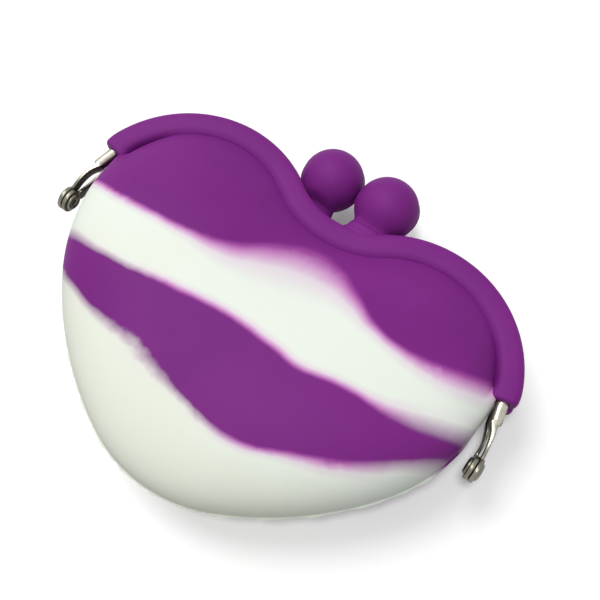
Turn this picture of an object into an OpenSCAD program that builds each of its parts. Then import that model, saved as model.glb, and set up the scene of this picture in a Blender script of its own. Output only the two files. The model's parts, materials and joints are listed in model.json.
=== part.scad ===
// Heart-shaped squeeze coin purse, closed and lying on its back.
// The pouch is moulded silicone. Its mouth has a thick rim on each half, and each rim holds a bent
// steel frame. The two frames are riveted together beside the pouch, and two balls hold them shut.
//
// Sizes below are in millimetres, measured from the hinge line and from the plane between the
// halves. X runs along the hinge line, Y towards the mouth and Z out of the front face.

/* [Pouch] */
// Distance from the hinge line down to the toe of the heart
toe_drop = 38.5; // [37:0.5:40]
// Radius of the toe
toe_r = 31.8; // [31:0.1:32.5]
// Turn of the toe's arc on each side, in degrees
toe_turn = 26; // [25:0.5:27]
// Radius of the long flanks
flank_r = 70.5; // [69:0.5:71.5]
// Turn of each flank, in degrees
flank_turn = 27; // [26:0.5:28]
// Radius of the sides, up to the widest place
side_r = 36.2; // [36:0.1:36.4]
// Height of each face at its crown
crown_h = 13.5; // [12.5:0.1:13.6]
// Height of each face where it meets the rim
brim_h = 4.1; // [3.8:0.1:4.3]
// How far up the face its crown lies, as a share of the way to crown_reach
crown_at = 0.6; // [0.56:0.01:0.62]
// Height on the face that the crown's place is measured to
crown_reach = 18; // [16:0.5:19]
// Bluntness of the pouch's edge, where 2 is an ellipse
edge_power = 2.3; // [2:0.1:2.6]
// Bluntness of the crown across the pouch
crown_power = 2.4; // [2.2:0.1:2.8]
// How late the face falls towards the rim
fall_power = 2.2; // [2:0.1:2.6]
// Thickness of the silicone
wall = 1.8; // [1.4:0.1:2]
// Depth of the flat that the purse lies on
rest_cut = 0.5; // [0.5:0.1:0.6]
// Depth of the rebate in each side, where the frame's tubes swing past
rebate = 0.45; // [0.4:0.05:0.5]

/* [Rim] */
// Distance from the hinge line to the rim's outer edge in the notch
notch_y = 26.7; // [26:0.1:27.2]
// Radius of the rim's outer edge in the notch
notch_r = 17.5; // [17:0.1:18]
// Turn of the notch on each side, in degrees
notch_turn = 35; // [34:0.5:36]
// Radius of the rim's outer edge round a lobe
lobe_r = 26.45; // [26.2:0.05:26.6]
// Width of the rim, seen from the front
rim_w = 5.5; // [5.2:0.1:5.6]
// Height of the rim over the plane between the halves
rim_h = 4.9; // [4.7:0.1:5.2]
// Bluntness of the rim's section, where 2 is an ellipse
rim_power = 3; // [2.6:0.1:3.6]
// Height over the hinge line at which the rim ends
rim_end_y = 15.5; // [15.5:0.1:15.8]
// Radius of the channel that holds the frame
channel_r = 1.65; // [1.6:0.01:1.7]

/* [Clasp] */
// Radius of a ball
ball_r = 6.8; // [6.6:0.05:6.8]
// Distance of each ball from the middle
ball_x = 6.85; // [6.85:0.05:7]
// Distance of each ball from the hinge line
ball_y = 36.2; // [36.2:0.1:36.6]
// How far each ball's centre lies towards its own half
ball_lift = 1; // [0.5:0.1:1.5]
// Diameter of the neck between a ball and its rim
neck_d = 8; // [7:0.1:8.5]
// Radius of the steel core in a ball
core_r = 4.2; // [3.8:0.1:4.6]
// Diameter of the stem that carries a core
stem_d = 2.2; // [2:0.1:2.4]

/* [Frame] */
// Outer radius of the frame's rolled tube
tube_r = 1.45; // [1.4:0.01:1.5]
// Wall of the rolled tube
tube_wall = 0.5; // [0.4:0.05:0.6]
// Height of the tube over the plane between the halves
tube_lift = 2.4; // [2.3:0.05:2.5]
// Turn of the bare tube past the rim, in degrees
bare_turn = 6; // [4:1:7]
// Length of the sleeve that closes each end of the tube
sleeve_l = 3.2; // [2.8:0.1:3.4]
// Wall of that sleeve over the tube
sleeve_wall = 0.1; // [0.08:0.01:0.15]
// Thickness of the flattened arms
arm_t = 1; // [0.9:0.05:1]
// Width of the flattened arms
arm_w = 2.5; // [2.2:0.1:2.6]
// Diameter of an arm's eye
eye_d = 5.2; // [4.8:0.1:5.4]

/* [Hinge] */
// Distance from the middle to the gap between the two eyes of a hinge
eye_x = 50.1; // [50:0.05:50.3]
// Gap between the two eyes
eye_gap = 0.1; // [0.08:0.01:0.15]
// Diameter of the rivet
rivet_d = 1.6; // [1.5:0.05:1.8]
// Diameter of a rivet's head
head_d = 3.8; // [3.4:0.1:4.2]
// Height of a rivet's head
head_h = 0.6; // [0.5:0.05:0.7]

/* [Hidden] */
$fn = 64;
purple = [0.49, 0.2, 0.51];
white = [0.93, 0.96, 0.91];
steel = [0.72, 0.71, 0.68];

// Clearances between pieces
seam = 0.1;
half_gap = 0.15;
slide_gap = 0.3;
pin_gap = 0.06;
core_gap = 0.05;
// Distance from the hinge line at which the rebates begin
rebate_r = 12;

// Radius of the rim's middle line in the notch
notch_mid_r = notch_r + rim_w / 2;

// The hinge line in the part's own frame, whose origin is under the middle of the whole purse
hinge_y = (toe_drop - ball_y - ball_r) / 2;
hinge_z = crown_h - rest_cut;

// Centres of the arcs of the pouch's outline
toe_c = [0, toe_r - toe_drop];
flank_c = toe_c + (toe_r - flank_r) * [sin(toe_turn), -cos(toe_turn)];
side_turn = toe_turn + flank_turn;
side_c = flank_c + (flank_r - side_r) * [sin(side_turn), -cos(side_turn)];
side_x = side_c[0] + side_r;
toe_end_x = toe_r * sin(toe_turn);
flank_end_x = flank_c[0] + flank_r * sin(side_turn);

// Centres of the arcs of the rim's outer edge
notch_c = [0, notch_y + notch_r];
lobe_c = notch_c + (notch_r + lobe_r) * [sin(notch_turn), -cos(notch_turn)];
rim_mid_r = lobe_r - rim_w / 2;

// The front wall parts on a cylinder about the hinge line: what lies outside it swings
swing_r = rim_end_y - seam;
fixed_r = swing_r - slide_gap;
// Half width of the part of the front wall that swings
panel_x = lobe_c[0] + lobe_r - rim_w - 1.8;

// Counts of facets
half_sections = 16;
edge_steps = 9;
face_steps = 6;
panel_steps = 14;
ring_points = 12;
notch_steps = 6;
lobe_steps = 22;
bar_fn = 32;
root_steps = 24;

// Places on the outline

// Lower edge of the pouch at a distance x from the middle
function low_y(x) =
  x < toe_end_x ? toe_c[1] - sqrt(toe_r ^ 2 - x ^ 2)
  : x < flank_end_x ? flank_c[1] - sqrt(flank_r ^ 2 - (x - flank_c[0]) ^ 2)
  : side_c[1] - sqrt(max(0, side_r ^ 2 - (x - side_c[0]) ^ 2));

// Edge of the silicone wall under the rim, which is the rim's inner edge and a seam
function brim_y(x) =
  let (
    notch_in = notch_r + rim_w + seam,
    lobe_in = lobe_r - rim_w - seam,
    join_x = notch_in * sin(notch_turn)
  )
  x < join_x ? notch_c[1] - sqrt(notch_in ^ 2 - x ^ 2)
  : max(rim_end_y - seam, lobe_c[1] + sqrt(max(0, lobe_in ^ 2 - (x - lobe_c[0]) ^ 2)));

// Height of the crown across the pouch
function crown_z(x) =
  brim_h + (crown_h - brim_h) * sqrt(max(0, 1 - (x / side_x) ^ crown_power));

// Place of the crown on the section at x
function crown_y(x) = low_y(x) + crown_at * (crown_reach - low_y(x));

// Height of the face between its crown and the rim
function upper_z(x, y, inset) =
  let (share = (y - crown_y(x)) / (brim_y(x) - crown_y(x)))
  brim_h - inset + (crown_z(x) - brim_h) * (1 - max(0, share) ^ fall_power);

// Where the face between its crown and the rim crosses a cylinder about the hinge line
function cross_y(x, r, inset, y, step = 0) =
  step == root_steps ? y
  : cross_y(x, r, inset, (y + sqrt(max(1, r ^ 2 - upper_z(x, y, inset) ^ 2))) / 2, step + 1);

// A point of the face between its edge (turn 0) and its crown (turn 90)
function lower_pt(x, turn, inset, side) =
  [
    crown_y(x) - (crown_y(x) - low_y(x) - inset) * max(0, cos(turn)) ^ (2 / edge_power),
    side * (crown_z(x) - inset) * sin(turn) ^ (2 / edge_power)
  ];

// The U of the fixed wall at x: down the back, round the edge and up the front to where it parts
function pouch_section(x, inset) =
  let (
    back_end = brim_y(x),
    front_end = cross_y(x, fixed_r, inset, fixed_r)
  )
  concat(
    [
      for (k = [face_steps : -1 : 1])
        let (y = crown_y(x) + (back_end - crown_y(x)) * k / face_steps)
        [y, -upper_z(x, y, inset)]
    ],
    [for (k = [edge_steps : -1 : 1]) lower_pt(x, 90 * k / edge_steps, inset, -1)],
    [for (k = [0 : edge_steps]) lower_pt(x, 90 * k / edge_steps, inset, 1)],
    [
      for (k = [1 : face_steps])
        let (y = crown_y(x) + (front_end - crown_y(x)) * k / face_steps)
        [y, upper_z(x, y, inset)]
    ]
  );

// Faces of a grid of n rows of m points, from index first on
function grid_faces(n, m, first, turned) =
  [
    for (i = [0 : n - 2], j = [0 : m - 2])
      let (
        a = first + i * m + j,
        quad = [a, a + 1, a + m + 1, a + m],
        order = turned ? [3, 2, 1, 0] : [0, 1, 2, 3],
        q = [for (k = order) quad[k]]
      )
      each [[q[0], q[1], q[2]], [q[0], q[2], q[3]]]
  ];

// Two triangles between edges a-b and c-d
function strip(a, b, c, d) = [[a, b, d], [a, d, c]];

// Sweep of a row that closes on itself: n rows of m points each
function loop_faces(n, m, first, turned) =
  [
    for (i = [0 : n - 2], j = [0 : m - 1])
      let (
        a = first + i * m + j,
        b = first + i * m + (j + 1) % m
      )
      each turned ? strip(b, a, b + m, a + m) : strip(a, b, a + m, b + m)
  ];

// Silicone pieces

// The fixed wall: the whole back, the edge and the lower front, open at the mouth
module pouch_shell() {
  n = 2 * half_sections + 1;
  rows = [for (i = [-half_sections : half_sections]) side_x * sin(90 * i / half_sections)];
  m = len(pouch_section(0, 0));
  inner_scale = (side_x - wall) / side_x;
  outer = [for (x = rows) for (p = pouch_section(abs(x), 0)) [x, p[0], p[1]]];
  inner = [for (x = rows) for (p = pouch_section(abs(x), wall)) [x * inner_scale, p[0], p[1]]];
  size = n * m;
  last = (n - 1) * m;
  // The flat sides, where the first and the last section close
  caps = [
    for (k = [0 : floor((m - 1) / 2) - 1])
      each concat(
        strip(k + 1, k, m - 2 - k, m - 1 - k),
        strip(last + k, last + k + 1, last + m - 1 - k, last + m - 2 - k),
        strip(size + k, size + k + 1, size + m - 1 - k, size + m - 2 - k),
        strip(size + last + k + 1, size + last + k, size + last + m - 2 - k, size + last + m - 1 - k)
      )
  ];
  // The lip between the outer and the inner surface, all round the mouth
  lip = [
    for (i = [0 : n - 2])
      each concat(
        strip(i * m, (i + 1) * m, size + i * m, size + (i + 1) * m),
        strip((i + 2) * m - 1, (i + 1) * m - 1, size + (i + 2) * m - 1, size + (i + 1) * m - 1)
      )
  ];
  ends = concat(
    strip(m - 1, 0, size + m - 1, size),
    strip(last, last + m - 1, size + last, size + last + m - 1)
  );
  polyhedron(
    concat(outer, inner),
    concat(grid_faces(n, m, 0, false), grid_faces(n, m, size, true), caps, lip, ends),
    convexity = 6
  );
}

// What is cut from the right side to let the tubes past: a ring about the hinge line
module side_rebate() {
  translate([side_x - rebate, 0, 0])
    rotate([0, 90, 0])
      rotate_extrude()
        translate([rebate_r, 0])
          square([rim_end_y, 2 * rebate]);
}

module pouch_body() {
  color(white)
    translate([0, hinge_y, hinge_z])
      difference() {
        pouch_shell();
        translate([-side_x, -toe_drop, -2 * crown_h + rest_cut])
          cube([2 * side_x, 2 * toe_drop, crown_h]);
        side_rebate();
        mirror([1, 0, 0])
          side_rebate();
      }
}

// The part of the front wall that swings, between the parting cylinder and the rim
module front_panel() {
  n = 2 * panel_steps + 1;
  m = face_steps + 1;
  rows = [for (i = [-panel_steps : panel_steps]) panel_x * sin(90 * i / panel_steps)];
  size = n * m;
  face = [
    for (inset = [0, wall])
      for (x = rows)
        let (
          low = cross_y(abs(x), swing_r, inset, swing_r),
          high = brim_y(abs(x))
        )
        for (k = [0 : m - 1])
          let (y = low + (high - low) * k / (m - 1))
          [x, y, upper_z(abs(x), y, inset)]
  ];
  long_edges = [
    for (i = [0 : n - 2])
      each concat(
        strip(i * m, (i + 1) * m, size + i * m, size + (i + 1) * m),
        strip((i + 2) * m - 1, (i + 1) * m - 1, size + (i + 2) * m - 1, size + (i + 1) * m - 1)
      )
  ];
  short_edges = [
    for (j = [0 : m - 2], i = [0, n - 1])
      let (
        a = i * m + j,
        b = a + 1
      )
      each i == 0 ? strip(b, a, size + b, size + a) : strip(a, b, size + a, size + b)
  ];
  color(purple)
    translate([0, hinge_y, hinge_z])
      polyhedron(
        face,
        concat(grid_faces(n, m, 0, false), grid_faces(n, m, size, true), long_edges, short_edges),
        convexity = 6
      );
}

// A point beside the rim's middle line, at u outwards from it. Stations count from the notch's
// middle, on one side, and the last one lies where the lobe's arc has turned to the angle last_turn.
function path_point(station, u, last_turn) =
  station <= notch_steps
    ? let (turn = notch_turn * station / notch_steps, r = notch_mid_r - u)
      notch_c + r * [sin(turn), -cos(turn)]
    : let (
        from = 90 + notch_turn,
        turn = from + (last_turn - from) * (station - notch_steps) / lobe_steps
      )
      lobe_c + (rim_mid_r + u) * [cos(turn), sin(turn)];

// The same for the rim, which ends on a plane
function rim_point(station, u) =
  path_point(station, u, asin((rim_end_y - lobe_c[1]) / (rim_mid_r + u)));

// The rim's section as [outwards, up] pairs: a blunt oval
function rim_section() =
  [
    for (k = [0 : ring_points - 1])
      let (
        a = 360 * k / ring_points,
        mid = (rim_h + half_gap) / 2,
        u = sign(cos(a)) * abs(cos(a)) ^ (2 / rim_power),
        v = sign(sin(a)) * abs(sin(a)) ^ (2 / rim_power)
      )
      [u * rim_w / 2, mid + v * (mid - half_gap)]
  ];

// A round section of radius r in the same form, at the frame's height
function round_section(r) =
  [
    for (k = [0 : ring_points - 1])
      let (a = 360 * k / ring_points)
      [r * cos(a), tube_lift + r * sin(a)]
  ];

// A hollow bar bent along the rim, from one side to the other. The function place turns a station
// and a distance outwards into a point.
module bent_bar(outer, inner, place) {
  stations = notch_steps + lobe_steps;
  n = 2 * stations + 1;
  m = ring_points;
  size = n * m;
  points = [
    for (section = [outer, inner])
      for (s = [-stations : stations])
        for (q = section)
          let (p = place(abs(s), q[0]))
          [s < 0 ? -p[0] : p[0], p[1], q[1]]
  ];
  ends = [
    for (j = [0 : m - 1])
      let (k = (j + 1) % m, last = size - m)
      each concat(
        strip(j, k, size + j, size + k),
        strip(last + k, last + j, size + last + k, size + last + j)
      )
  ];
  polyhedron(
    points,
    concat(loop_faces(n, m, 0, true), loop_faces(n, m, size, false), ends),
    convexity = 8
  );
}

// The middle line of the tube inside a rim, where the clasp's stem meets it
stem_foot_y = notch_c[1] - sqrt(notch_mid_r ^ 2 - ball_x ^ 2);

// A rod from the frame's tube to the middle of the front ball
module stem(d) {
  rise = ball_lift - tube_lift;
  run = ball_y - stem_foot_y;
  translate([ball_x, stem_foot_y, tube_lift])
    rotate([-90 + atan2(rise, run), 0, 0])
      cylinder(d = d, h = sqrt(run ^ 2 + rise ^ 2));
}

module half_rim() {
  difference() {
    bent_bar(rim_section(), round_section(channel_r), function (s, u) rim_point(s, u));
    stem(stem_d + 2 * core_gap);
  }
}

// The silicone ball and its neck, moulded round the steel core, for the front half
module half_ball() {
  difference() {
    union() {
      translate([ball_x, ball_y, ball_lift])
        sphere(r = ball_r);
      intersection() {
        translate([ball_x, notch_y, tube_lift])
          rotate([-90, 0, 0])
            cylinder(d = neck_d, h = ball_y - notch_y);
        translate([notch_c[0], notch_c[1], slide_gap])
          cylinder(r = notch_r - seam, h = rim_h);
      }
    }
    translate([ball_x, ball_y, ball_lift])
      sphere(r = core_r + core_gap);
    stem(stem_d + 2 * core_gap);
  }
}

module front_rim() {
  color(purple)
    translate([0, hinge_y, hinge_z])
      half_rim();
}

module back_rim() {
  color(purple)
    translate([0, hinge_y, hinge_z])
      rotate([0, 180, 0])
        half_rim();
}

module front_ball() {
  color(purple)
    translate([0, hinge_y, hinge_z])
      half_ball();
}

module back_ball() {
  color(purple)
    translate([0, hinge_y, hinge_z])
      rotate([0, 180, 0])
        half_ball();
}

// Steel pieces

// Where the bent part of the tube ends, as an angle about the lobe's centre
bend_end = asin((rim_end_y - lobe_c[1]) / rim_mid_r) - bare_turn;
bend_end_pt = concat(lobe_c + rim_mid_r * [cos(bend_end), sin(bend_end)], tube_lift);
tube_dir = [sin(bend_end), -cos(bend_end), 0];
sleeve_lap = 0.5;

// The rolled tube of a front frame, from one bare end to the other
module rolled_tube() {
  bent_bar(
    round_section(tube_r),
    round_section(tube_r - tube_wall),
    function (s, u) path_point(s, u, bend_end)
  );
}

// The sleeve that closes the tube's right end
module sleeve() {
  translate(bend_end_pt - sleeve_lap * tube_dir)
    rotate([90, 0, bend_end])
      cylinder(r = tube_r + sleeve_wall, h = sleeve_l);
}

// A slice of a flattened arm, lying in a plane across X
module arm_slice(place, d) {
  translate(place)
    rotate([0, 90, 0])
      cylinder(d = d, h = arm_t, center = true, $fn = bar_fn);
}

// The flattened arm on the right of a front frame, with its eye centred at x
module arm(x) {
  root = bend_end_pt + (sleeve_l - sleeve_lap - arm_w / 2) * tube_dir;
  bend = [x, 0.55 * root[1], 0.72 * tube_lift];
  hull() {
    arm_slice(root, 0.8 * arm_w);
    arm_slice(bend, arm_w);
  }
  hull() {
    arm_slice(bend, arm_w);
    arm_slice([x, 0, 0], arm_w);
  }
}

// The flattened right end of a front frame, with its eye centred at x
module frame_end(x) {
  difference() {
    union() {
      sleeve();
      arm(x);
      translate([x, 0, 0])
        rotate([0, 90, 0])
          cylinder(d = eye_d, h = arm_t, center = true);
    }
    translate([x, 0, 0])
      rotate([0, 90, 0])
        cylinder(d = rivet_d + 2 * pin_gap, h = 3 * arm_t, center = true);
  }
}

// One whole frame, for the front half
module half_frame(x) {
  rolled_tube();
  frame_end(x);
  mirror([1, 0, 0])
    frame_end(x);
}

module front_frame() {
  color(steel)
    translate([0, hinge_y, hinge_z])
      half_frame(eye_x + (arm_t + eye_gap) / 2);
}

module back_frame() {
  color(steel)
    translate([0, hinge_y, hinge_z])
      rotate([0, 180, 0])
        half_frame(eye_x - (arm_t + eye_gap) / 2);
}

// The steel ball inside a clasp ball, with its stem saddled on the tube, for the front half
module half_core() {
  difference() {
    union() {
      translate([ball_x, ball_y, ball_lift])
        sphere(r = core_r);
      stem(stem_d);
    }
    translate([0, notch_c[1], tube_lift])
      rotate_extrude()
        translate([notch_mid_r, 0])
          circle(r = tube_r + core_gap);
  }
}

module front_clasp_core() {
  color(steel)
    translate([0, hinge_y, hinge_z])
      half_core();
}

module back_clasp_core() {
  color(steel)
    translate([0, hinge_y, hinge_z])
      rotate([0, 180, 0])
        half_core();
}

// A rivet's shank with a domed head at each end
module rivet() {
  inner_face = eye_x - eye_gap / 2 - arm_t - seam / 2;
  outer_face = eye_x + eye_gap / 2 + arm_t + seam / 2;
  dome_r = (head_d ^ 2 / 4 + head_h ^ 2) / (2 * head_h);
  translate([0, hinge_y, hinge_z])
    rotate([0, 90, 0]) {
      translate([0, 0, inner_face - head_h / 2])
        cylinder(d = rivet_d, h = outer_face - inner_face + head_h);
      intersection() {
        translate([0, 0, outer_face + head_h - dome_r])
          sphere(r = dome_r);
        translate([0, 0, outer_face])
          cylinder(d = head_d, h = head_h);
      }
      intersection() {
        translate([0, 0, inner_face - head_h + dome_r])
          sphere(r = dome_r);
        translate([0, 0, inner_face - head_h])
          cylinder(d = head_d, h = head_h);
      }
    }
}

module right_rivet() {
  color(steel)
    rivet();
}

module left_rivet() {
  color(steel)
    mirror([1, 0, 0])
      rivet();
}

pouch_body();
back_rim();
back_ball();
back_clasp_core();
back_frame();
front_panel();
front_rim();
front_ball();
front_clasp_core();
front_frame();
left_rivet();
right_rivet();
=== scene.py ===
"""Looks of a heart-shaped squeeze purse: marbled silicone on two riveted steel frames.

Every form is worked out in millimetres from the hinge line, with X along the hinge, Y towards the
mouth and Z out of the front face, and is put in its place in the row frame when its mesh is made.
"""

import json
import logging
import math
from dataclasses import dataclass
from enum import Enum
from typing import Callable, Sequence

import bmesh
import bpy
import numpy as np
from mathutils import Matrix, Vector


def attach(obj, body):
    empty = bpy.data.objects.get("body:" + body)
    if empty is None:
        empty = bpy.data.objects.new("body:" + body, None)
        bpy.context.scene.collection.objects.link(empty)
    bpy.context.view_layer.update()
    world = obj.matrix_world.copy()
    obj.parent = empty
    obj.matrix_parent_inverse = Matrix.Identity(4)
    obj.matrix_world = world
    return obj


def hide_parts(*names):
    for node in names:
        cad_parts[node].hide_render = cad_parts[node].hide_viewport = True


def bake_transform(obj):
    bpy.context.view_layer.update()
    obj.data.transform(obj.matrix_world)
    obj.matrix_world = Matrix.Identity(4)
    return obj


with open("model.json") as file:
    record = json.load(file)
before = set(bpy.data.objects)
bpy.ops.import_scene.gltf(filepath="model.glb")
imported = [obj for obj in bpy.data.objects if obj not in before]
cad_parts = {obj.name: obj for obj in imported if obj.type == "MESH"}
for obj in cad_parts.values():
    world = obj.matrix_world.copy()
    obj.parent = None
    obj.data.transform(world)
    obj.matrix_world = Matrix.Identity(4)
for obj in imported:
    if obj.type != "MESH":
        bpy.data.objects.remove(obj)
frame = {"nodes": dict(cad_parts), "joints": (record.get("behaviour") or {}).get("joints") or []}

log = logging.getLogger("purse")

MM = 0.001
HINGE = np.array(frame["joints"][0]["pos_m"], float) / MM
WELD = 0.002
FULL_TURN = 2.0 * math.pi
REST_ATTRIBUTE = "moulded_place"
# Attribute that is 0 on faces that look sideways, where the steel gets painted shade.
FACING_LIGHT_ATTRIBUTE = "facing_light_paint"

Colour = tuple[float, float, float]
Course = tuple[tuple[float, float], ...]


class Half(Enum):
    """The two halves of the purse, with the side that each lies on."""

    FRONT = 1
    BACK = -1

    @property
    def word(self) -> str:
        """The half's name, as its pieces and its CAD nodes have it."""
        return self.name.lower()

    @property
    def body(self) -> str:
        """The CAD body that this half moves with."""
        return f"{self.word}_half"

    def place(self, points: np.ndarray) -> np.ndarray:
        """Puts points of a front half into this half: the back is the front turned about Y."""
        return points * np.array([self.value, 1.0, self.value])


# Shared maths


def smoothstep(t: np.ndarray) -> np.ndarray:
    """Rises from 0 to 1 as t does, level at both ends: 3t^2 - 2t^3."""
    t = np.clip(t, 0.0, 1.0)
    return t * t * (3.0 - 2.0 * t)


def soft_max(a: np.ndarray, b: np.ndarray | float, k: float) -> np.ndarray:
    """The larger of two heights, rounded into a fillet where they are within k of each other.

    Args:
        a: the one height.
        b: the other height.
        k: the width of the fillet.
    Returns:
        a h + b (1 - h) + k h (1 - h), where h is 1/2 + (a - b) / 2k, held between 0 and 1.
    """
    h = np.clip(0.5 + 0.5 * (a - b) / k, 0.0, 1.0)
    return a * h + b * (1.0 - h) + k * h * (1.0 - h)


def superellipse(
    angle: np.ndarray, power: float | np.ndarray
) -> tuple[np.ndarray, np.ndarray]:
    """A blunt unit oval, which is a circle at the power 2 and nears a square above it.

    Args:
        angle: places round the oval, in radians.
        power: how blunt it is.
    Returns:
        cos and sin of the angle, each raised to 2 / power with its sign kept.
    """
    c, s = np.cos(angle), np.sin(angle)
    return (
        np.sign(c) * np.abs(c) ** (2.0 / power),
        np.sign(s) * np.abs(s) ** (2.0 / power),
    )


def smooth_path(points: Sequence[Sequence[float]], steps: int) -> np.ndarray:
    """A curve through points: each span is the cubic that keeps its neighbours' directions.

    Args:
        points: the points that the curve passes.
        steps: how many steps each span is divided into.
    Returns:
        An array of places along the curve.
    """
    p = np.array(points, float)
    p = np.vstack([2 * p[0] - p[1], p, 2 * p[-1] - p[-2]])
    t = np.linspace(0.0, 1.0, steps, endpoint=False)[None, :, None]
    a, b, c, d = (p[i : len(p) - 3 + i, None, :] for i in range(4))
    spans = 0.5 * (
        2 * b
        + (c - a) * t
        + (2 * a - 5 * b + 4 * c - d) * t**2
        + (3 * b - a - 3 * c + d) * t**3
    )
    return np.vstack([spans.reshape(-1, 3), p[-2]])


def arc_y(x: np.ndarray, centre: np.ndarray, radius: float, side: float) -> np.ndarray:
    """Height of a circle at x.

    Args:
        x: distances from the middle of the purse.
        centre: the circle's centre x, y.
        radius: its radius.
        side: 1 for the circle's upper half and -1 for its lower one.
    Returns:
        Centre y, plus or minus the root of radius^2 - (x - centre x)^2.
    """
    return centre[1] + side * np.sqrt(np.maximum(0, radius**2 - (x - centre[0]) ** 2))


def bearing(turn: float) -> np.ndarray:
    """The direction x, y that lies at an angle in radians from -Y towards +X."""
    return np.array([math.sin(turn), -math.cos(turn)])


def unit(vectors: np.ndarray) -> np.ndarray:
    """Each row's vector at the length 1."""
    return vectors / np.linalg.norm(vectors, axis=1)[:, None]


def ring_angles(count: int) -> np.ndarray:
    """Angles that divide a full turn evenly."""
    return np.linspace(0.0, FULL_TURN, count, endpoint=False)


def both_sides(right: np.ndarray) -> np.ndarray:
    """Rows of the right side, which start in the middle, after their mirror image on the left."""
    return np.concatenate([(right * np.array([-1.0, 1.0, 1.0]))[:0:-1], right])


class Surface:
    """Grids of points that are joined into one mesh."""

    def __init__(self) -> None:
        """Starts with no grids."""
        self.points: list[np.ndarray] = []
        self.quads: list[np.ndarray] = []
        self.count = 0

    def grid(self, p: np.ndarray, close_rows: bool = False, close_columns: bool = False) -> None:
        """Adds a grid of points.

        Args:
            p: points in rows and columns, with three numbers each.
            close_rows: joins the last row to the first.
            close_columns: joins the last column to the first.
        """
        rows, columns = p.shape[:2]
        index = np.arange(rows * columns).reshape(rows, columns) + self.count
        if close_rows:
            index = np.vstack([index, index[:1]])
        if close_columns:
            index = np.hstack([index, index[:, :1]])
        corners = [index[:-1, :-1], index[1:, :-1], index[1:, 1:], index[:-1, 1:]]
        self.quads.append(np.stack(corners, -1).reshape(-1, 4))
        self.points.append(p.reshape(-1, 3))
        self.count += rows * columns

    def strip(self, a: np.ndarray, b: np.ndarray) -> None:
        """Adds the band of faces between two rows of as many points."""
        self.grid(np.stack([a, b]))

    def cone(self, ring: np.ndarray, tip: np.ndarray) -> None:
        """Closes a ring of points on one point."""
        self.grid(np.stack([ring, np.broadcast_to(tip, ring.shape)]), close_columns=True)

    def piece(self, name: str, crease: float = 40.0) -> bpy.types.Object:
        """Makes the object: welds the grids, turns the faces outwards and shades them smooth.

        Args:
            name: the piece's name.
            crease: the angle in degrees over which an edge stays sharp.
        Returns:
            The object, at the origin, with its place in its mesh.
        """
        points = (np.vstack(self.points) + HINGE) * MM
        quads = np.vstack(self.quads)
        mesh = bpy.data.meshes.new(name)
        mesh.vertices.add(len(points))
        mesh.vertices.foreach_set("co", points.astype(np.float32).ravel())
        mesh.loops.add(quads.size)
        mesh.loops.foreach_set("vertex_index", quads.astype(np.int32).ravel())
        mesh.polygons.add(len(quads))
        mesh.polygons.foreach_set("loop_start", np.arange(0, quads.size, 4, dtype=np.int32))
        mesh.update(calc_edges=True)
        self.close_seams(mesh)
        mesh.polygons.foreach_set("use_smooth", np.ones(len(mesh.polygons), bool))
        mesh.set_sharp_from_angle(angle=math.radians(crease))
        self.note_places(mesh)
        made = bpy.data.objects.new(name, mesh)
        bpy.context.scene.collection.objects.link(made)
        return made

    @staticmethod
    def close_seams(mesh: bpy.types.Mesh) -> None:
        """Merges points that meet, fills the pinholes that this leaves and turns faces outwards.

        Args:
            mesh: the mesh to close.
        """
        work = bmesh.new()
        work.from_mesh(mesh)
        bmesh.ops.remove_doubles(work, verts=work.verts, dist=WELD * MM)
        bmesh.ops.dissolve_degenerate(work, edges=work.edges, dist=WELD * MM)
        pinholes = [edge for edge in work.edges if edge.is_boundary]
        bmesh.ops.holes_fill(work, edges=pinholes, sides=6)
        bmesh.ops.recalc_face_normals(work, faces=work.faces)
        work.to_mesh(mesh)
        work.free()
        mesh.validate()

    @staticmethod
    def note_places(mesh: bpy.types.Mesh) -> None:
        """Writes what the materials need to know of each vertex as attributes.

        One is its place at rest, in millimetres from the hinge line. The other is 0 on faces that
        look sideways and 1 on edges and rounds, and the steel paints shade on the faces where it
        is low.

        Args:
            mesh: the mesh that gets the attributes.
        """
        flat_from, flat_run = 0.6, 0.35
        places = np.empty(len(mesh.vertices) * 3, np.float32)
        mesh.vertices.foreach_get("co", places)
        places = places.reshape(-1, 3) / MM - HINGE
        noted = mesh.attributes.new(REST_ATTRIBUTE, "FLOAT_VECTOR", "POINT")
        noted.data.foreach_set("vector", places.astype(np.float32).ravel())
        normals = np.empty(len(mesh.vertices) * 3, np.float32)
        mesh.vertices.foreach_get("normal", normals)
        # Mask for the steel's painted shade: 0 on faces that look sideways, 1 elsewhere.
        flat = smoothstep((np.abs(normals.reshape(-1, 3)[:, 0]) - flat_from) / flat_run)
        lit_facing = mesh.attributes.new(FACING_LIGHT_ATTRIBUTE, "FLOAT", "POINT")
        lit_facing.data.foreach_set("value", (1.0 - flat).astype(np.float32))


def dress(
    made: bpy.types.Object, finish: bpy.types.Material, node: str, body: str
) -> bpy.types.Object:
    """Gives a stiff piece its finish and lets it move in a CAD node's stead.

    Args:
        made: the piece.
        finish: its material.
        node: the CAD node that it replaces.
        body: the CAD body that it rides on.
    Returns:
        The piece.
    """
    made.data.materials.append(finish)
    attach(made, body)
    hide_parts(node)
    return made


# Shader maths


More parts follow.
